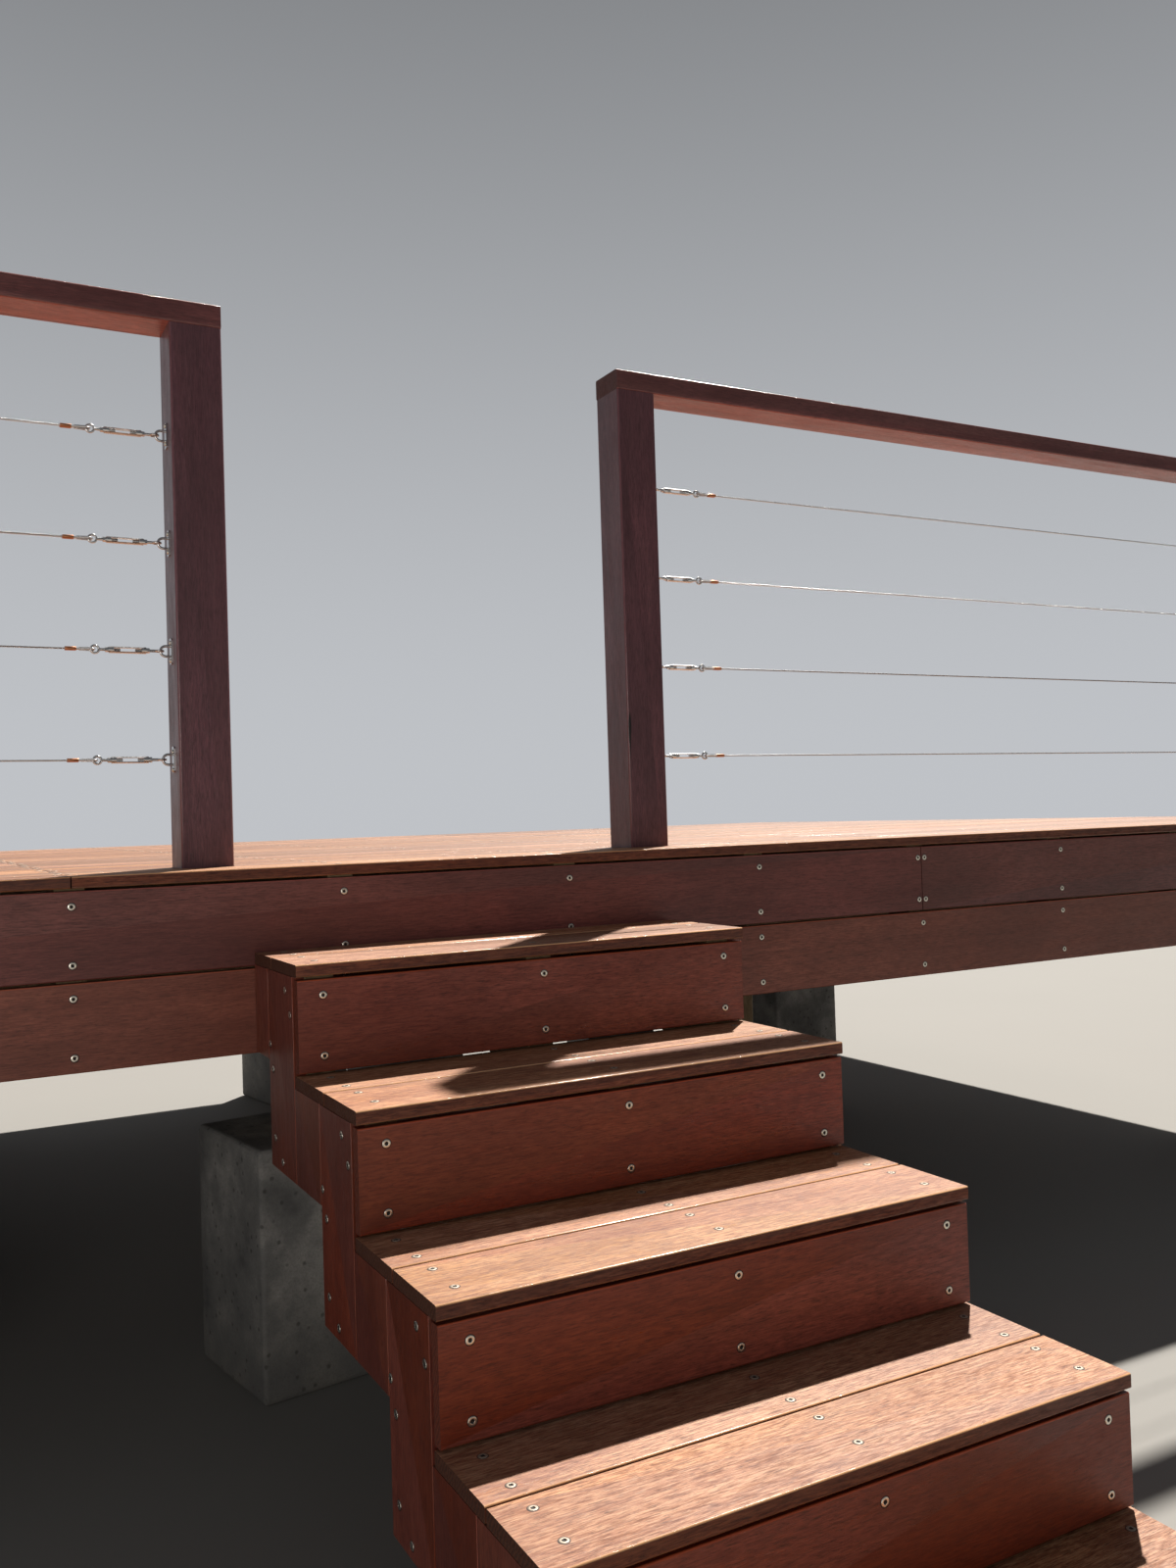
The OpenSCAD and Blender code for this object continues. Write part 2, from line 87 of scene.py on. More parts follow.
# A countersunk screw head with a square socket, the dark ring of painted shade round it, where the
# countersink's shadow falls, and the pan head on an eye plate, each as (radius, height) points
ROUND_SIDES = 20
HEAD_R = 5.8 * MM
HEAD_RISE = 0.55 * MM
HEAD_PROFILE = [(HEAD_R, -0.3 * MM), (HEAD_R, 0.25 * MM), (HEAD_R - 0.35 * MM, HEAD_RISE),
                (3.1 * MM, HEAD_RISE + 0.12 * MM), (2.7 * MM, HEAD_RISE)]
SOCKET = 2.4 * MM
SOCKET_TOP = HEAD_RISE - 0.02 * MM
SOCKET_FLOOR = 0.04 * MM
SOCKET_DRAFT = 0.96
SOCKET_FACES = ROUND_SIDES + 1
SINK_W = 1.1 * MM
SINK_PROFILE = [(HEAD_R + SINK_W, 0.03 * MM), (HEAD_R - 0.1 * MM, 0.12 * MM)]
PAN_PROFILE = [(3.9 * MM, 0.0), (3.9 * MM, 0.7 * MM), (3.3 * MM, 1.5 * MM), (2.1 * MM, 2.0 * MM),
               (1.3 * MM, 2.05 * MM), (1.2 * MM, 0.9 * MM)]

# The wires and what stands at their ends
WIRES_N = 4
BODY_R = 6 * MM
THREAD_R = 2.7 * MM
THREAD_PITCH = 0.8 * MM
STRANDS = 6
STRAND_LAY = 26 * MM
WIRE_REACH = 2 * MM
PLATE_T = 2.5 * MM
PLATE_SCREW = 16 * MM

# A drying split low in the right stair post, from (x, z) to (x, z), and half its width
SPLIT_POST = "post_stair_right"
SPLIT = ((0.4178, 1.262), (0.4150, 1.115), 3.2 * MM)
SPLIT_WANDER = 3.5 * MM

# How far the CAD's sharp edges are eased, in mm: planed boards, sawn framing, piers and footing
PLANED_EDGE = 0.8
SAWN_EDGE = 2.0
PIER_EDGE = 9.0
FOOTING_EDGE = 6.0
SHARP_ANGLE = math.radians(50)
WELD_REACH = 0.01 * MM

# The grain's patterns: how far each is drawn out along the board, then its noise's scale, detail,
# roughness and distortion
STRIPES = (0.035, 34.0, 3.0, 0.55, 0.25)
STREAKS = (0.05, 130.0, 3.0, 0.6, 0.15)
FIBRES = (0.07, 620.0, 3.0, 0.6, 0.0)
PORES = (0.09, 1050.0, 2.0, 0.5, 0.0)
FLECKS = (0.13, 340.0, 3.0, 0.6, 0.0)
DASHES = (0.12, 320.0, 4.0, 0.72, 0.1)
OIL = (0.5, 7.0, 4.0, 0.6, 0.0)
# The wide weather clouds are partly painted dappled shade
WEATHER_AND_SHADE = (0.7, 2.6, 3.0, 0.5, 0.0)
WAVES = (0.08, 24.0, 2.0, 0.5, 0.0)
GLOSS = (0.2, 45.0, 4.0, 0.6, 0.0)

# Where in its noise each mark begins and where it is whole
PORE_FADE = (0.585, 0.66)
FLECK_FADE = (0.57, 0.66)
DARK_DASH_FADE = (0.52, 0.62)
# The light dashes are painted glints
PAINTED_GLINT_FADE = (0.48, 0.37)
OIL_FADE = (0.45, 0.72)
WEATHER_AND_SHADE_FADE = (0.36, 0.62)

# The range that a noise mostly keeps to, and its middle
NOISE_RANGE = (0.3, 0.7)
MIDDLE = 0.5

# How far a board's own random number shifts its grain, and what the node's number counts for in it
GRAIN_SHIFT = {"X": 13.0, "Y": 29.0, "Z": 17.0}
NODE_SHARE = 0.61

WOOD_IOR = 1.47
ARRIS_ROUGH = 0.22
END_GRAIN_ROUGH = 0.25

# The photograph's camera, in the object's frame
PHOTO_HEIGHT_PX = 1600
FOCAL_PX = 1317.3
EYE = Vector((-0.9441, -1.0144, 1.0543))
YAW = math.radians(28.614)
PITCH = math.radians(1.289)
ROLL = math.radians(-1.792)
SENSOR_MM = 36.0
NEAREST = 0.02
FARTHEST = 200.0

# The studio: a wide round floor, a sun in the photograph's direction and a soft fill from the left.
# The room is dim, with a brighter low backdrop behind the object, as (axis, from, to, value at from,
# value at to) of two fades that are multiplied.
FLOOR_REACH = 60.0
FLOOR_SIDES = 96
SUN_DIRECTION = Vector((-0.519, -0.502, -1.0))
SUN_POWER = 8.0
SUN_ANGLE = math.radians(1.2)
SUN_COLOUR = (1.0, 0.95, 0.88)
FILL_PLACE = Vector((-3.0, -3.0, 1.3))
FILL_TARGET = Vector((-0.9, 1.1, 1.25))
FILL_SIZE = (2.4, 1.6)
FILL_POWER = 6.4
FILL_COLOUR = (1.0, 0.94, 0.88)
FILL_SPREAD = math.radians(58)
ROOM_COLOUR = (0.92, 0.95, 1.0, 1.0)
ROOM_LIGHT = 0.13
BACKDROP = ((Y, -0.4, 0.5, 0.0, 0.44), (Z, 0.0, 0.85, 1.0, 0.0))


def srgb(red, green, blue):
    """A colour given in 0..255 screen values, as the linear numbers that a shader takes."""
    def linear(c):
        c /= 255.0
        return c / 12.92 if c <= 0.04045 else ((c + 0.055) / 1.055) ** 2.4
    return (linear(red), linear(green), linear(blue))


def toned(colour, share):
    """A colour made darker or lighter."""
    return [min(1.0, c * share) for c in colour]


def rgba(colour):
    return (*colour, 1.0)


# The oiled hardwood's dark, middle and light tones
DECK_TONES = (srgb(108, 62, 42), srgb(163, 111, 75), srgb(198, 148, 108))
TREAD_TONES = (srgb(110, 58, 34), srgb(170, 114, 77), srgb(206, 161, 120))
RISER_TONES = (srgb(94, 36, 22), srgb(129, 54, 33), srgb(153, 72, 46))
UPPER_FASCIA_TONES = (srgb(84, 42, 38), srgb(116, 61, 56), srgb(138, 78, 70))
LOWER_FASCIA_TONES = (srgb(96, 46, 34), srgb(134, 68, 52), srgb(158, 88, 66))
CLADDING_TONES = (srgb(88, 36, 25), srgb(122, 54, 38), srgb(144, 72, 50))
# The posts' plum-brown carries a blue tint that is painted reflection of the sky
POST_TONES = (srgb(70, 42, 48), srgb(98, 62, 71), srgb(121, 81, 87))
RAIL_TONES = (srgb(80, 44, 44), srgb(112, 66, 66), srgb(138, 86, 82))
FRAME_TONES = (srgb(104, 84, 58), srgb(142, 118, 84), srgb(172, 148, 112))

# What the tones are multiplied by: painted shade on the sides of a board whose top is lit, and a
# lighter, redder tint under a rail
SIDE_PAINTED_SHADE = (0.32, 0.17, 0.13)
UNDERSIDE_TINT = (2.1, 1.25, 0.95)

# The other colours
FITTING_STEEL = srgb(200, 200, 202)
SCREW_STEEL = srgb(226, 220, 208)
WORN_SCREW_STEEL = srgb(158, 146, 132)
COPPER = srgb(178, 122, 90)
WIRE_BRIGHT, WIRE_GROOVE = srgb(205, 206, 208), srgb(70, 70, 72)
THREAD_BRIGHT, THREAD_GROOVE = srgb(205, 205, 206), srgb(84, 82, 80)
CEMENT_TONES = (srgb(84, 84, 84), srgb(124, 123, 121), srgb(168, 165, 160))
SAND, AIR_HOLE, LOW_TINT = srgb(88, 86, 83), srgb(52, 50, 47), srgb(70, 66, 54)
SOCKET_DARK = srgb(30, 22, 18)
# A dark ring round each screw head: painted shade where the countersink's shadow falls
COUNTERSINK_SHADE_COLOUR = srgb(46, 20, 14)
FLOOR_COLOUR = srgb(138, 136, 132)


class Shader:
    """A material with short calls that add nodes to it and link them."""

    def __init__(self, name):
        self.mat = bpy.data.materials.new(name)
        self.mat.use_nodes = True
        self.tree = self.mat.node_tree
        self.bsdf = self.tree.nodes["Principled BSDF"]

    def put(self, socket, value):
        if isinstance(value, bpy.types.NodeSocket):
            self.tree.links.new(value, socket)
        else:
            socket.default_value = value

    def node(self, kind, inputs=None, **settings):
        made = self.tree.nodes.new(kind)
        for key, value in settings.items():
            setattr(made, key, value)
        for key, value in (inputs or {}).items():
            self.put(made.inputs[key], value)
        return made

    def math(self, operation, a, b=0.0, clamp=False):
        made = self.node("ShaderNodeMath", {0: a, 1: b}, operation=operation, use_clamp=clamp)
        return made.outputs[0]

    def coords(self):
        return self.node("ShaderNodeTexCoord").outputs["Object"]

    def axes(self, vector):
        """The X, Y and Z of a vector."""
        return self.node("ShaderNodeSeparateXYZ", {0: vector}).outputs

    def scaled(self, vector, scale):
        return self.node("ShaderNodeMapping", {"Vector": vector, "Scale": scale}).outputs[0]

    def noise(self, vector, scale, detail=3.0, rough=0.5, distortion=0.0):
        made = self.node("ShaderNodeTexNoise", {"Vector": vector, "Scale": scale, "Detail": detail,
                                                "Roughness": rough, "Distortion": distortion})
        return made.outputs["Fac"]

    def spread(self, value, low, high, to_low=0.0, to_high=1.0):
        """Stretches a value's range from low..high to to_low..to_high, clamped."""
        made = self.node("ShaderNodeMapRange", {"Value": value, "From Min": low, "From Max": high,
                                                "To Min": to_low, "To Max": to_high})
        return made.outputs[0]

    def reseed(self, seed, factor, to_low, to_high):
        """Another number out of a seed, between to_low and to_high."""
        drawn = self.math("FRACT", self.math("MULTIPLY", seed, factor))
        return self.spread(drawn, 0.0, 1.0, to_low, to_high)

    def ramp(self, value, stops):
        made = self.node("ShaderNodeValToRGB", {"Fac": value})
        ramp = made.color_ramp
        while len(ramp.elements) < len(stops):
            ramp.elements.new(MIDDLE)
        for element, (place, colour) in zip(ramp.elements, stops):
            element.position = place
            element.color = rgba(colour)
        return made.outputs["Color"]

    def mix(self, factor, a, b, blend="MIX"):
        made = self.node("ShaderNodeMix", data_type="RGBA", blend_type=blend)
        self.put(made.inputs[0], factor)
        self.put(made.inputs[6], a)
        self.put(made.inputs[7], b)
        return made.outputs[2]

    def bump(self, height, strength, distance, under=None):
        inputs = {"Height": height, "Strength": strength, "Distance": distance}
        if under is not None:
            inputs["Normal"] = under
        return self.node("ShaderNodeBump", inputs).outputs[0]

    def set(self, **values):
        for key, value in values.items():
            self.put(self.bsdf.inputs[key.replace("_", " ")], value)


def timber(name, grain, dark, middle, light, rough, pore=1.0, figure=0.5, dash=0.3, vary=0.1,
           clouds=0.5, side=None, under=None, end_dark=0.7, split=None):
    """Oiled hardwood whose grain runs along one axis: stripes, fibres, dark pores, dashes, end grain.

    pore, figure and dash weigh its dark pores, its soft stripes and its short dark and light dashes,
    the light dashes being painted glints. vary is the difference from board to board, and clouds the
    unevenness of its oil and weather, the weather partly painted dappled shade. side tints the faces
    that don't look up with painted shade, where a board's top is lit, and under tints those that look
    down, lighter and redder. end_dark is the tone of its end grain beside that of its faces, and split
    a drying split, as crack takes it.
    """
    s = Shader(name)
    geometry = s.node("ShaderNodeNewGeometry")
    node_seed = s.math("MULTIPLY", s.node("ShaderNodeObjectInfo").outputs["Random"], NODE_SHARE)
    seed = s.math("FRACT", s.math("ADD", geometry.outputs["Random Per Island"], node_seed))
    shifts = {axis: s.math("MULTIPLY", seed, shift) for axis, shift in GRAIN_SHIFT.items()}
    offset = s.node("ShaderNodeCombineXYZ", shifts).outputs[0]
    place = s.node("ShaderNodeVectorMath", {0: s.coords(), 1: offset}, operation="ADD").outputs[0]

    def pattern(squeeze, *noise):
        scale = [1.0, 1.0, 1.0]
        scale[grain] = squeeze
        return s.noise(s.scaled(place, scale), *noise)

    # Stripes, streaks and fibres move the tone about its middle, and pores, flecks and dark dashes lie on
    # it; the light dashes are painted glints
    fibres = pattern(*FIBRES)
    tone = MIDDLE
    for part, weight in ((pattern(*STRIPES), 0.5 * figure), (pattern(*STREAKS), 0.4 * figure),
                         (fibres, 0.5)):
        swing = s.math("SUBTRACT", s.spread(part, *NOISE_RANGE), MIDDLE)
        tone = s.math("ADD", tone, s.math("MULTIPLY", swing, weight))
    colour = s.ramp(tone, [(0.15, dark), (MIDDLE, middle), (0.85, light)])
    deep = rgba(toned(dark, 0.3))
    pores = s.spread(pattern(*PORES), *PORE_FADE)
    flecks = s.spread(pattern(*FLECKS), *FLECK_FADE)
    dashes = pattern(*DASHES)
    colour = s.mix(s.math("MULTIPLY", pores, 0.5 * pore), colour, deep)
    colour = s.mix(s.math("MULTIPLY", flecks, 0.4 * pore), colour, deep)
    colour = s.mix(s.spread(dashes, *DARK_DASH_FADE, 0.0, dash), colour, rgba(toned(dark, 0.6)))
    colour = s.mix(s.spread(dashes, *PAINTED_GLINT_FADE, 0.0, dash), colour, rgba(toned(light, 1.25)))

    # Each board has its own tone, and oil and weather lie on it in soft clouds; the wide weather clouds
    # are partly painted dappled shade
    shade = s.node("ShaderNodeHueSaturation", {
        "Hue": s.reseed(seed, 7.3, 0.495, 0.505),
        "Saturation": s.reseed(seed, 3.7, 0.90, 1.06),
        "Value": s.spread(seed, 0.0, 1.0, 1.0 - vary, 1.0 + vary), "Color": colour}).outputs[0]
    oiled = s.spread(pattern(*OIL), *OIL_FADE, 0.0, clouds)
    shade = s.mix(oiled, shade, rgba(toned(dark, 0.75)))
    weather_and_shade = s.spread(pattern(*WEATHER_AND_SHADE), *WEATHER_AND_SHADE_FADE, 0.0, clouds)
    shade = s.mix(weather_and_shade, shade, rgba(toned(dark, 0.8)))

    # End grain: close pores and curved rings, darker than the faces
    normal = s.axes(geometry.outputs["True Normal"])
    size = [s.math("ABSOLUTE", normal[i]) for i in (X, Y, Z)]
    is_end = s.spread(size[grain], 0.6, 0.8)
    rings = s.node("ShaderNodeTexWave", {"Vector": place, "Scale": 55.0, "Distortion": 5.0, "Detail": 2.0,
                                         "Detail Scale": 1.5}, wave_type="RINGS").outputs["Fac"]
    specks = s.noise(place, 1100.0, 2.0, 0.6)
    end_tone = s.math("ADD", s.math("MULTIPLY", rings, 0.35), s.math("MULTIPLY", specks, 0.5))
    end_colour = s.ramp(end_tone, [(0.1, toned(dark, end_dark * 0.6)), (0.9, toned(light, end_dark))])
    shade = s.mix(is_end, shade, end_colour)
    # Painted shade: the faces that don't look up are darkened to the look of faces out of the sun
    if side is not None:
        shaded_sides = s.spread(normal[Z], 0.4, 0.6, 1.0, 0.0)
        shade = s.mix(shaded_sides, shade, rgba(side), "MULTIPLY")
    # The faces that look down are tinted lighter and redder
    if under is not None:
        down = s.spread(normal[Z], -0.9, -0.6, 1.0, 0.0)
        shade = s.mix(down, shade, rgba(under), "MULTIPLY")

    # Rubbed arrises are a little smoother than the faces, and a little lighter, partly from wear and partly
    # as a painted highlight, most of all those on top
    square_on = s.math("MAXIMUM", size[X], s.math("MAXIMUM", size[Y], size[Z]))
    arris = s.spread(square_on, 0.93, 0.99, 1.0, 0.0)
    wear_and_highlight = s.math("MULTIPLY", arris, s.spread(normal[Z], -0.3, 0.3, 0.1, 0.6))
    shade = s.mix(wear_and_highlight, shade, rgba(toned(light, 1.5)))

    relief = s.math("SUBTRACT", s.math("MULTIPLY", fibres, 0.5), s.math("MULTIPLY", pores, 0.8))
    if split is not None:
        # The split is painted near black, as painted shade inside its gap, and sunk in the bump
        opened = crack(s, *split)
        shade = s.mix(opened, shade, rgba(toned(dark, 0.08)))
        relief = s.math("SUBTRACT", relief, s.math("MULTIPLY", opened, 3.0))
    bumped = s.bump(relief, 0.28, 0.4 * MM, s.bump(pattern(*WAVES), 0.18, 1.5 * MM))

    # The roughness follows the oil, the dashes and the board, and is its own on arrises and end grain
    shine = s.spread(pattern(*GLOSS), *NOISE_RANGE, rough - 0.06, rough + 0.10)
    shine = s.math("ADD", shine, s.spread(dashes, 0.36, 0.64, -0.25 * dash, 0.25 * dash))
    shine = s.math("ADD", shine, s.reseed(seed, 5.1, -0.5 * vary, 0.5 * vary))
    shine = s.spread(arris, 0.0, 1.0, shine, ARRIS_ROUGH)
    shine = s.math("ADD", shine, s.math("MULTIPLY", is_end, END_GRAIN_ROUGH), True)
    s.set(Base_Color=shade, Roughness=shine, Normal=bumped, IOR=WOOD_IOR)
    return s.mat


def crack(s, top, bottom, half_width):
    """1 inside a drying split that runs up a front face between two (x, z) points, else 0."""
    place = s.axes(s.coords())
    run = s.spread(place[Z], bottom[1], top[1])
    shaken = s.noise(s.scaled(s.coords(), (0.0, 0.0, 1.0)), 40.0)
    wander = s.math("MULTIPLY", s.math("SUBTRACT", shaken, MIDDLE), SPLIT_WANDER)
    line = s.math("ADD", s.spread(place[Z], bottom[1], top[1], bottom[0], top[0]), wander)
    away = s.math("ABSOLUTE", s.math("SUBTRACT", place[X], line))
    # Widest near its top, and closing slowly downwards: run^4 (1 - run), scaled to reach 1
    taper = s.math("MULTIPLY", s.math("POWER", run, 4.0), s.math("SUBTRACT", 1.0, run))
    wide = s.math("MULTIPLY", s.math("MULTIPLY", taper, 12.2), half_width)
    inside = s.math("LESS_THAN", away, wide)
    normal = s.axes(s.node("ShaderNodeNewGeometry").outputs["True Normal"])
    return s.math("MULTIPLY", inside, s.math("LESS_THAN", normal[Y], -0.4))


def steel(name, colour, rough, scratch=0.05, metal=1.0):
    """Brushed and a little dulled metal."""
    s = Shader(name)
    place = s.coords()
    worn = s.noise(place, 220.0, 3.0, 0.6)
    dull = s.spread(s.noise(place, 40.0, 3.0, 0.6), 0.4, 0.7, 0.0, 0.35)
    s.set(Base_Color=s.mix(dull, rgba(colour), rgba(toned(colour, 0.72))), Metallic=metal,
          Roughness=s.spread(worn, *NOISE_RANGE, rough - scratch, rough + scratch),
          Normal=s.bump(worn, 0.12, 0.1 * MM))
    return s.mat


def concrete(name):
    """Rough cast concrete: cement film, sand, air holes, and a darker tint near the ground."""
    s = Shader(name)
    place = s.coords()
    cloud = s.noise(place, 6.0, 6.0, 0.65)
    sand = s.noise(place, 260.0, 4.0, 0.7)
    cells = s.node("ShaderNodeTexVoronoi", {"Vector": place, "Scale": 38.0}).outputs["Distance"]
    holes = s.spread(cells, 0.10, 0.19, 1.0, 0.0)
    colour = s.ramp(cloud, list(zip((0.3, 0.5, 0.66), CEMENT_TONES)))
    colour = s.mix(s.spread(sand, 0.45, 0.7, 0.0, 0.4), colour, rgba(SAND))
    colour = s.mix(s.math("MULTIPLY", holes, 0.6), colour, rgba(AIR_HOLE))
    # Darker towards the ground
    low_down = s.spread(s.axes(place)[Z], 0.0, 0.28, 1.0, 0.0)
    low_tint = s.math("MULTIPLY", low_down, s.spread(cloud, 0.3, 0.6))
    colour = s.mix(s.math("MULTIPLY", low_tint, 0.6), colour, rgba(LOW_TINT))
    relief = s.math("SUBTRACT", s.math("MULTIPLY", sand, 0.5), holes)
    rough_form = s.bump(s.noise(place, 16.0, 5.0, 0.6), 0.5, 6.0 * MM)
    s.set(Base_Color=colour, Roughness=0.9, Normal=s.bump(relief, 0.6, 1.2 * MM, rough_form))
    return s.mat


def round_the_wire(s, centre_y, first_z, pitch_z):
    """The place along, the angle round and the distance from the nearest wire's axis."""
    place = s.axes(s.coords())
    across = s.math("SUBTRACT", place[Y], centre_y)
    level = s.math("DIVIDE", s.math("SUBTRACT", place[Z], first_z), pitch_z)
    up = s.math("MULTIPLY", s.math("SUBTRACT", level, s.math("ROUND", level)), pitch_z)
    squares = s.math("ADD", s.math("MULTIPLY", across, across), s.math("MULTIPLY", up, up))
    return place[X], s.math("ARCTAN2", up, across), s.math("SQRT", squares)


def wire_strand(name, axis):
    """Twisted stainless wire: strands that wind round each wire's own axis."""
    s = Shader(name)
    x, angle, away = round_the_wire(s, *axis)
    along = s.math("MULTIPLY", x, 2 * math.pi * STRANDS / STRAND_LAY)
    lay = s.math("SINE", s.math("ADD", s.math("MULTIPLY", angle, float(STRANDS)), along))
    straight = s.math("LESS_THAN", away, WIRE_REACH)
    groove = s.math("MULTIPLY", s.spread(lay, -1.0, -0.35, 1.0, 0.0), straight)
    s.set(Base_Color=s.mix(groove, rgba(WIRE_BRIGHT), rgba(WIRE_GROOVE)), Metallic=1.0, Roughness=0.3,
          Normal=s.bump(s.math("MULTIPLY", lay, straight), 0.9, 0.5 * MM))
    return s.mat


def turnbuckle_steel(name, axis):
    """Polished steel, with a screw thread wherever the surface is as near the wire's axis as the rods are."""
    s = Shader(name)
    x, angle, away = round_the_wire(s, *axis)
    rod = s.math("LESS_THAN", away, THREAD_R)
    turn = s.math("ADD", s.math("MULTIPLY", x, 2 * math.pi / THREAD_PITCH), angle)
    thread = s.math("MULTIPLY", s.math("SINE", turn), rod)
    groove = s.spread(thread, -1.0, -0.2, 0.75, 0.0)
    worn = s.noise(s.coords(), 240.0, 3.0, 0.6)
    s.set(Base_Color=s.mix(groove, rgba(THREAD_BRIGHT), rgba(THREAD_GROOVE)), Metallic=1.0,
          Roughness=s.spread(worn, *NOISE_RANGE, 0.18, 0.3),
          Normal=s.bump(thread, 0.7, 0.25 * MM, s.bump(worn, 0.1, 0.1 * MM)))
    return s.mat


def plain(name, colour, rough):
    """A quiet, slightly uneven colour."""
    s = Shader(name)
    uneven = s.noise(s.coords(), 1.3, 3.0, 0.5)
    s.set(Base_Color=s.mix(uneven, rgba(colour), rgba(toned(colour, 0.96))), Roughness=rough)
    return s.mat


def dress(names, material, width=PLANED_EDGE, segments=2):
    """Gives CAD nodes their material and eases the edges that are still sharp, by a width in mm."""
    for name in names:
        node = nodes[name]
        node.data.materials.clear()
        node.data.materials.append(material)
        if width:
            weld = node.modifiers.new("weld", "WELD")
            weld.merge_threshold = WELD_REACH
            bevel = node.modifiers.new("arris", "BEVEL")
            bevel.width = width * MM
            bevel.segments = segments
            bevel.limit_method = "ANGLE"
            bevel.angle_limit = SHARP_ANGLE


def dress_timber():
    """Treads and decking with painted shade on their sides, the other boards still red, and sawn framing."""
    painted_shade_sides = dict(rough=0.50, dash=0.5, clouds=0.38, side=SIDE_PAINTED_SHADE)
    fascia = dict(rough=0.42, figure=0.4, dash=0.2)
    post = dict(rough=0.40, figure=0.4, dash=0.2)
    planed = [
        (TREADS, "tread", X, TREAD_TONES, dict(painted_shade_sides, pore=1.4, figure=0.42, vary=0.17)),
        (DECKING, "decking", X, DECK_TONES, dict(painted_shade_sides, pore=1.5, figure=0.5, vary=0.36)),
        (RISERS, "riser", X, RISER_TONES, dict(rough=0.38, pore=1.2, figure=0.3, dash=0.3)),
        (["fascia_upper"], "fascia_upper", X, UPPER_FASCIA_TONES, dict(fascia, rough=0.40)),
        (["fascia_lower", "fascia_rear"], "fascia_lower", X, LOWER_FASCIA_TONES, fascia),
        (END_FASCIAS, "end_fascia", Y, LOWER_FASCIA_TONES, fascia),
        (CLADDING, "cladding", Z, CLADDING_TONES, dict(rough=0.42, figure=0.3, dash=0.2)),
        (RAILS, "rail", X, RAIL_TONES, dict(post, rough=0.38, under=UNDERSIDE_TINT, end_dark=0.5)),
        ([n for n in POSTS if n != SPLIT_POST], "post", Z, POST_TONES, post),
        ([SPLIT_POST], "post_with_split", Z, POST_TONES, dict(post, split=SPLIT)),
    ]
    for names, name, grain, tones, look in planed:
        dress(names, timber(name, grain, *tones, **look))
    sawn = [
        (["joists"] + STRINGERS, "framing_y", Y),
        (["bearers", "post_noggings"], "framing_x", X),
        (["stumps", "fascia_cleats"], "framing_z", Z),
    ]
    for names, name, grain in sawn:
        dress(names, timber(name, grain, *FRAME_TONES, rough=0.75, end_dark=0.8), SAWN_EDGE)


def dress_metal_and_stone():
    low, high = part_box("wires_left")
    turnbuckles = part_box("turnbuckles_left")
    first, last = (turnbuckles[0][2] + BODY_R, turnbuckles[1][2] - BODY_R)
    axis = ((low[1] + high[1]) / 2, first, (last - first) / (WIRES_N - 1))
    dress(WIRES, wire_strand("wire_strand", axis), 0)
    bright = steel("stainless", FITTING_STEEL, 0.24)
    pressed = steel("pressed_copper", COPPER, 0.36, 0.08)
    for side in ("left", "right"):
        dress(["eye_plates_" + side, "thimbles_" + side], bright, 0)
        dress(["turnbuckles_" + side], turnbuckle_steel("turnbuckle_" + side, axis), 0)
        dress(["ferrules_" + side], pressed)
    stone = concrete("cast_concrete")
    dress(["piers"], stone, PIER_EDGE, 3)
    dress(["stair_footing"], stone, FOOTING_EDGE, 3)


def mesh_object(name, verts, faces, material, smooth=True):
    mesh = bpy.data.meshes.new(name)
    mesh.from_pydata([tuple(v) for v in verts], [], faces)
    mesh.update()
    if smooth:
        mesh.polygons.foreach_set("use_smooth", [True] * len(mesh.polygons))
    mesh.materials.append(material)
    made = bpy.data.objects.new(name, mesh)
    bpy.context.scene.collection.objects.link(made)
    return made


def circle(radius, height, sides=ROUND_SIDES):
    """Points round the Z axis."""
    turns = [2 * math.pi * i / sides for i in range(sides)]
    return [(radius * math.cos(a), radius * math.sin(a), height) for a in turns]


def band(first, second):
    """The faces between two circles, each given by the number of its first point."""
    pairs = [(i, (i + 1) % ROUND_SIDES) for i in range(ROUND_SIDES)]
    return [(first + i, first + j, second + j, second + i) for i, j in pairs]


def revolved(profile, capped=True):
    """Vertices and faces of a profile of (radius, height) points turned round Z."""
    verts, faces = [], []
    for radius, height in profile:
        verts += circle(radius, height)
    last = (len(profile) - 1) * ROUND_SIDES
    for first in range(0, last, ROUND_SIDES):
        faces += band(first, first + ROUND_SIDES)
    if capped:
        faces.append(tuple(reversed(range(ROUND_SIDES))))
        faces.append(tuple(last + i for i in range(ROUND_SIDES)))
    return verts, faces


def screw_head():
    """A domed rim, then the walls and the floor of its square socket as the last faces."""
    verts, faces = revolved(HEAD_PROFILE, capped=False)
    top = (len(HEAD_PROFILE) - 1) * ROUND_SIDES
    mouth = len(verts)
    floor = mouth + ROUND_SIDES
    for x, y, _ in circle(1.0, 0.0):
        reach = SOCKET / max(abs(x), abs(y))
        verts.append((reach * x, reach * y, SOCKET_TOP))
    for x, y, _ in verts[mouth:floor]:
        verts.append((x * SOCKET_DRAFT, y * SOCKET_DRAFT, SOCKET_FLOOR))
    faces += band(top, mouth) + band(mouth, floor)
    faces.append(tuple(floor + i for i in range(ROUND_SIDES)))
    return verts, faces


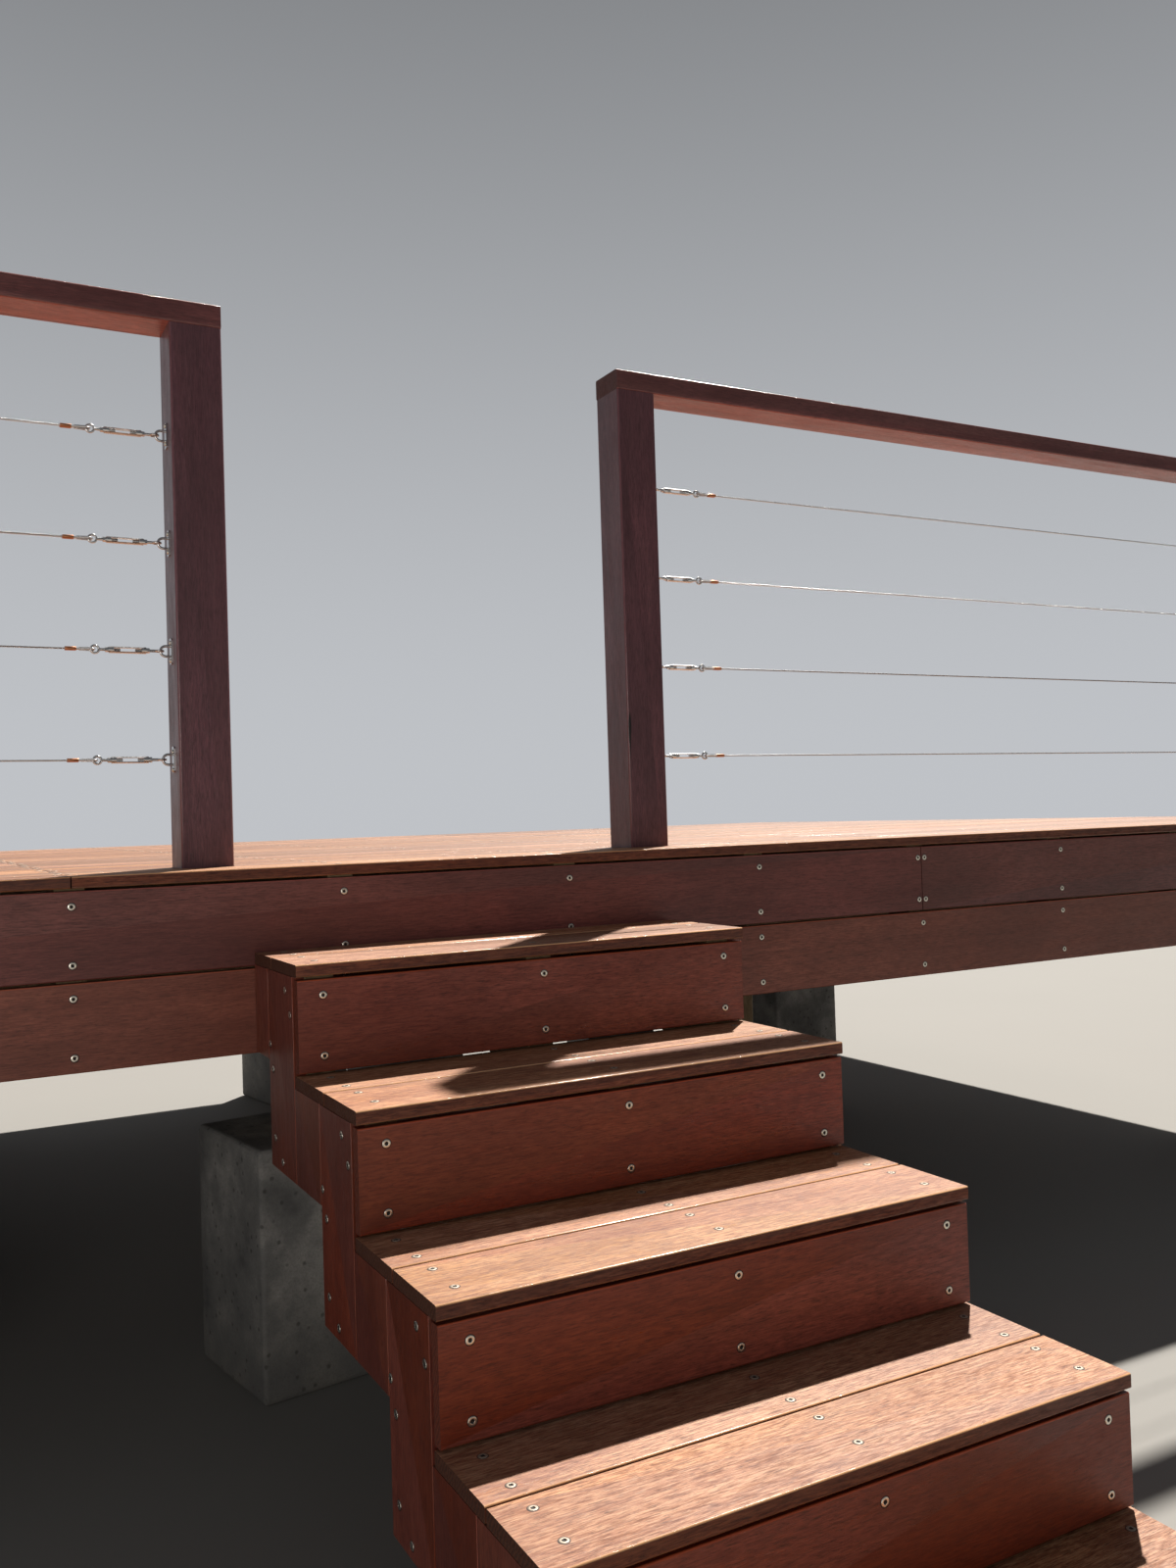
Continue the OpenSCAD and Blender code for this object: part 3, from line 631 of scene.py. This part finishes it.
def copies(name, form, placements, material, inner=0, inner_material=None):
    """One mesh with a copy of a form at each placement; its last faces can take a second material."""
    verts, faces = form
    base = np.array([(*v, 1.0) for v in verts])
    all_verts, all_faces = [], []
    for place in placements:
        start = len(all_verts)
        all_verts.extend((base @ np.array(place).T)[:, :3].tolist())
        all_faces.extend(tuple(i + start for i in face) for face in faces)
    made = mesh_object(name, all_verts, all_faces, material)
    if inner:
        made.data.materials.append(inner_material)
        per_copy = [0] * (len(faces) - inner) + [1] * inner
        made.data.polygons.foreach_set("material_index", per_copy * len(placements))
    return made


def facing(point, normal, spin=0.0):
    """A placement whose Z axis points along normal, at a point, turned by spin about it."""
    turn = Vector(UP).rotation_difference(Vector(normal)).to_matrix().to_4x4()
    return Matrix.Translation(point) @ turn @ Matrix.Rotation(spin, 4, "Z")


def joist_lines():
    """The X of each line of screws over the joists."""
    edge = DECK_HIGH_X - BOARD_T - JOIST_T / 2
    clear = edge - POST_W - JOIST_T
    inner = [JOIST_OFFSET + k * JOIST_PITCH for k in range(-JOISTS_EACH_WAY, JOISTS_EACH_WAY)]
    return [-edge] + [x for x in inner if abs(x) <= clear] + [edge]


def edge_levels(box):
    """The heights of the two rows of screws in an upright board."""
    return (box[0][2] + SCREW_EDGE, box[1][2] - SCREW_EDGE)


def riser_screws():
    for name in RISERS:
        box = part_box(name)
        for x in STRINGER_X:
            for z in edge_levels(box):
                yield (x, box[0][1], z), (0, -1, 0)


def tread_screws():
    for name in TREADS:
        low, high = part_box(name)
        back = high[1] - low[1] - BOARD_PITCH
        rows = FRONT_BOARD_ROWS + tuple(BOARD_PITCH + share * back for share in BACK_BOARD_ROWS)
        for x in STRINGER_X:
            for row in rows:
                yield (x, low[1] + row, high[2]), UP


def fascia_screws():
    """Two screws at each joist, doubled where two boards of the upper front fascia meet."""
    joint_x = JOIST_OFFSET + JOINT_AWAY
    for name in ("fascia_upper", "fascia_lower"):
        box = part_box(name)
        for x in joist_lines():
            meets = name == "fascia_upper" and abs(x - joint_x) < SAME_LINE
            for shift in ((-BUTT_OFFSET, BUTT_OFFSET) if meets else (0,)):
                for z in edge_levels(box):
                    yield (x + shift, box[0][1], z), (0, -1, 0)
    levels = edge_levels(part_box("fascia_upper")) + edge_levels(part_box("fascia_lower"))
    for x in joist_lines():
        for z in levels:
            yield (x, REAR_Y, z), (0, 1, 0)


def end_fascia_screws():
    uppers, lowers = edge_levels(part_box("fascia_upper")), edge_levels(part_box("fascia_lower"))
    levels = [uppers[0], lowers[0], uppers[1], lowers[1]]
    span = REAR_Y - FRONT_Y - 2 * END_MARGIN
    for i in range(END_SCREWS):
        y = FRONT_Y + END_MARGIN + i * span / (END_SCREWS - 1)
        for z in levels:
            yield (DECK_LOW_X, y, z), (-1, 0, 0)
            yield (DECK_HIGH_X, y, z), (1, 0, 0)


def deck_screws():
    """Two screws at each joist, doubled at the joints, but none where a post stands."""
    rows = int(round((REAR_Y - FRONT_Y) / BOARD_PITCH))
    for row in range(rows):
        y = FRONT_Y + row * BOARD_PITCH
        joint_x = JOIST_OFFSET + (JOINT_AWAY if row % 2 else -JOINT_AWAY)
        for x in joist_lines():
            meets = abs(x - joint_x) < SAME_LINE
            for shift in ((-BUTT_OFFSET, BUTT_OFFSET) if meets else (0,)):
                for dy in (DECK_SCREW_EDGE, BOARD - DECK_SCREW_EDGE):
                    if row == POST_ROW and on_post(x + shift, y + dy):
                        continue
                    yield (x + shift, y + dy, DECK_TOP), UP


def on_post(x, y):
    for name in POSTS:
        low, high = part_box(name)
        if (low[0] - POST_CLEAR < x < high[0] + POST_CLEAR
                and low[1] - POST_CLEAR < y < high[1] + POST_CLEAR):
            return True
    return False


def side_screws():
    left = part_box("side_cladding_left")
    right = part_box("side_cladding_right")
    foot = left[0][2] + SIDE_FOOT
    for name in TREADS:
        low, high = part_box(name)
        for back, drop in SIDE_SCREWS:
            y, z = low[1] + back * MM, high[2] - drop * MM
            if z >= foot:
                yield (left[0][0], y, z), (-1, 0, 0)
                yield (right[1][0], y, z), (1, 0, 0)


def plate_screws():
    low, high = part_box("turnbuckles_left")
    pitch = (high[2] - low[2] - 2 * BODY_R) / (WIRES_N - 1)
    y = (low[1] + high[1]) / 2
    for name, side in (("post_end_left", 1), ("post_stair_left", -1), ("post_stair_right", 1),
                       ("post_end_right", -1)):
        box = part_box(name)
        x = box[1][0] + PLATE_T if side > 0 else box[0][0] - PLATE_T
        for level in range(WIRES_N):
            for up in (-PLATE_SCREW, PLATE_SCREW):
                yield (x, y, low[2] + BODY_R + level * pitch + up), (side, 0, 0)


def add_screws():
    """The screw heads of each kind, each turned its own way, with their dark rings of painted shade."""
    clean = steel("screw_steel", SCREW_STEEL, 0.30)
    worn = steel("worn_screw_steel", WORN_SCREW_STEEL, 0.55, metal=0.5)
    socket = plain("screw_socket", SOCKET_DARK, 0.7)
    countersink_shade_paint = plain("crushed_wood", COUNTERSINK_SHADE_COLOUR, 0.7)
    groups = (("riser_screws", riser_screws, clean), ("tread_screws", tread_screws, worn),
              ("fascia_screws", fascia_screws, clean), ("end_fascia_screws", end_fascia_screws, clean),
              ("deck_screws", deck_screws, worn), ("side_screws", side_screws, clean))
    form = screw_head()
    every_spot = []
    for seed, (name, places, metal) in enumerate(groups):
        spots = list(places())
        every_spot += spots
        spins = np.random.default_rng(seed).random(len(spots)) * math.pi
        turned = [facing(p, n, a) for (p, n), a in zip(spots, spins)]
        made = copies(name, form, turned, metal, SOCKET_FACES, socket)
        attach(made, "root")
    # Flat dark rings round the heads: painted shade of the countersinks
    ring = revolved(SINK_PROFILE, capped=False)
    rings = copies("countersinks", ring, [facing(p, n) for p, n in every_spot], countersink_shade_paint)
    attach(rings, "root")
    pan = revolved(PAN_PROFILE)
    heads = copies("plate_screws", pan, [facing(p, n) for p, n in plate_screws()], clean)
    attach(heads, "root")


def add_stage():
    """A wide round pale floor that the object stands on."""
    rim = circle(FLOOR_REACH, 0, FLOOR_SIDES)
    paint = plain("studio_floor", FLOOR_COLOUR, 0.85)
    floor = mesh_object("studio_floor", rim, [tuple(range(FLOOR_SIDES))], paint, smooth=False)


def add_light(data, place, direction):
    made = bpy.data.objects.new(data.name, data)
    made.location = place
    made.rotation_euler = direction.to_track_quat("-Z", "Y").to_euler()
    bpy.context.scene.collection.objects.link(made)


def add_lights():
    sun = bpy.data.lights.new("key", "SUN")
    sun.energy = SUN_POWER
    sun.angle = SUN_ANGLE
    sun.color = SUN_COLOUR
    add_light(sun, Vector((0, 0, 0)), SUN_DIRECTION)
    fill = bpy.data.lights.new("fill", "AREA")
    fill.shape = "RECTANGLE"
    fill.size, fill.size_y = FILL_SIZE
    fill.energy = FILL_POWER
    fill.color = FILL_COLOUR
    fill.spread = FILL_SPREAD
    add_light(fill, FILL_PLACE, FILL_TARGET - FILL_PLACE)


def add_room():
    """A dim room with a bright low backdrop behind the object, told apart by the view's direction."""
    world = bpy.data.worlds.new("studio")
    bpy.context.scene.world = world
    world.use_nodes = True
    tree = world.node_tree
    background = tree.nodes["Background"]
    background.inputs["Color"].default_value = ROOM_COLOUR
    split = tree.nodes.new("ShaderNodeSeparateXYZ")
    tree.links.new(tree.nodes.new("ShaderNodeTexCoord").outputs["Generated"], split.inputs[0])
    strength = tree.nodes.new("ShaderNodeMath")
    strength.operation = "MULTIPLY_ADD"
    strength.inputs[2].default_value = ROOM_LIGHT
    for factor, (axis, *limits) in zip(strength.inputs, BACKDROP):
        fade = tree.nodes.new("ShaderNodeMapRange")
        fade.interpolation_type = "SMOOTHSTEP"
        for socket, value in zip(("From Min", "From Max", "To Min", "To Max"), limits):
            fade.inputs[socket].default_value = value
        tree.links.new(split.outputs[axis], fade.inputs["Value"])
        tree.links.new(fade.outputs[0], factor)
    tree.links.new(strength.outputs[0], background.inputs["Strength"])


def add_camera():
    forward = Vector((math.sin(YAW) * math.cos(PITCH), math.cos(YAW) * math.cos(PITCH), math.sin(PITCH)))
    level = Vector((math.cos(YAW), -math.sin(YAW), 0))
    upright = level.cross(forward)
    right = math.cos(ROLL) * level + math.sin(ROLL) * upright
    up = -math.sin(ROLL) * level + math.cos(ROLL) * upright
    data = bpy.data.cameras.new("photo_camera")
    data.sensor_width = SENSOR_MM
    data.lens = FOCAL_PX / PHOTO_HEIGHT_PX * data.sensor_width
    data.clip_start = NEAREST
    data.clip_end = FARTHEST
    made = bpy.data.objects.new("photo_camera", data)
    turn = Matrix((right, up, -forward)).transposed().to_4x4()
    made.matrix_world = Matrix.Translation(EYE) @ turn
    bpy.context.scene.collection.objects.link(made)
    bpy.context.scene.camera = made


dress_timber()
dress_metal_and_stone()
add_screws()
add_stage()
add_room()
add_lights()
add_camera()
bpy.context.scene.view_settings.view_transform = "Standard"
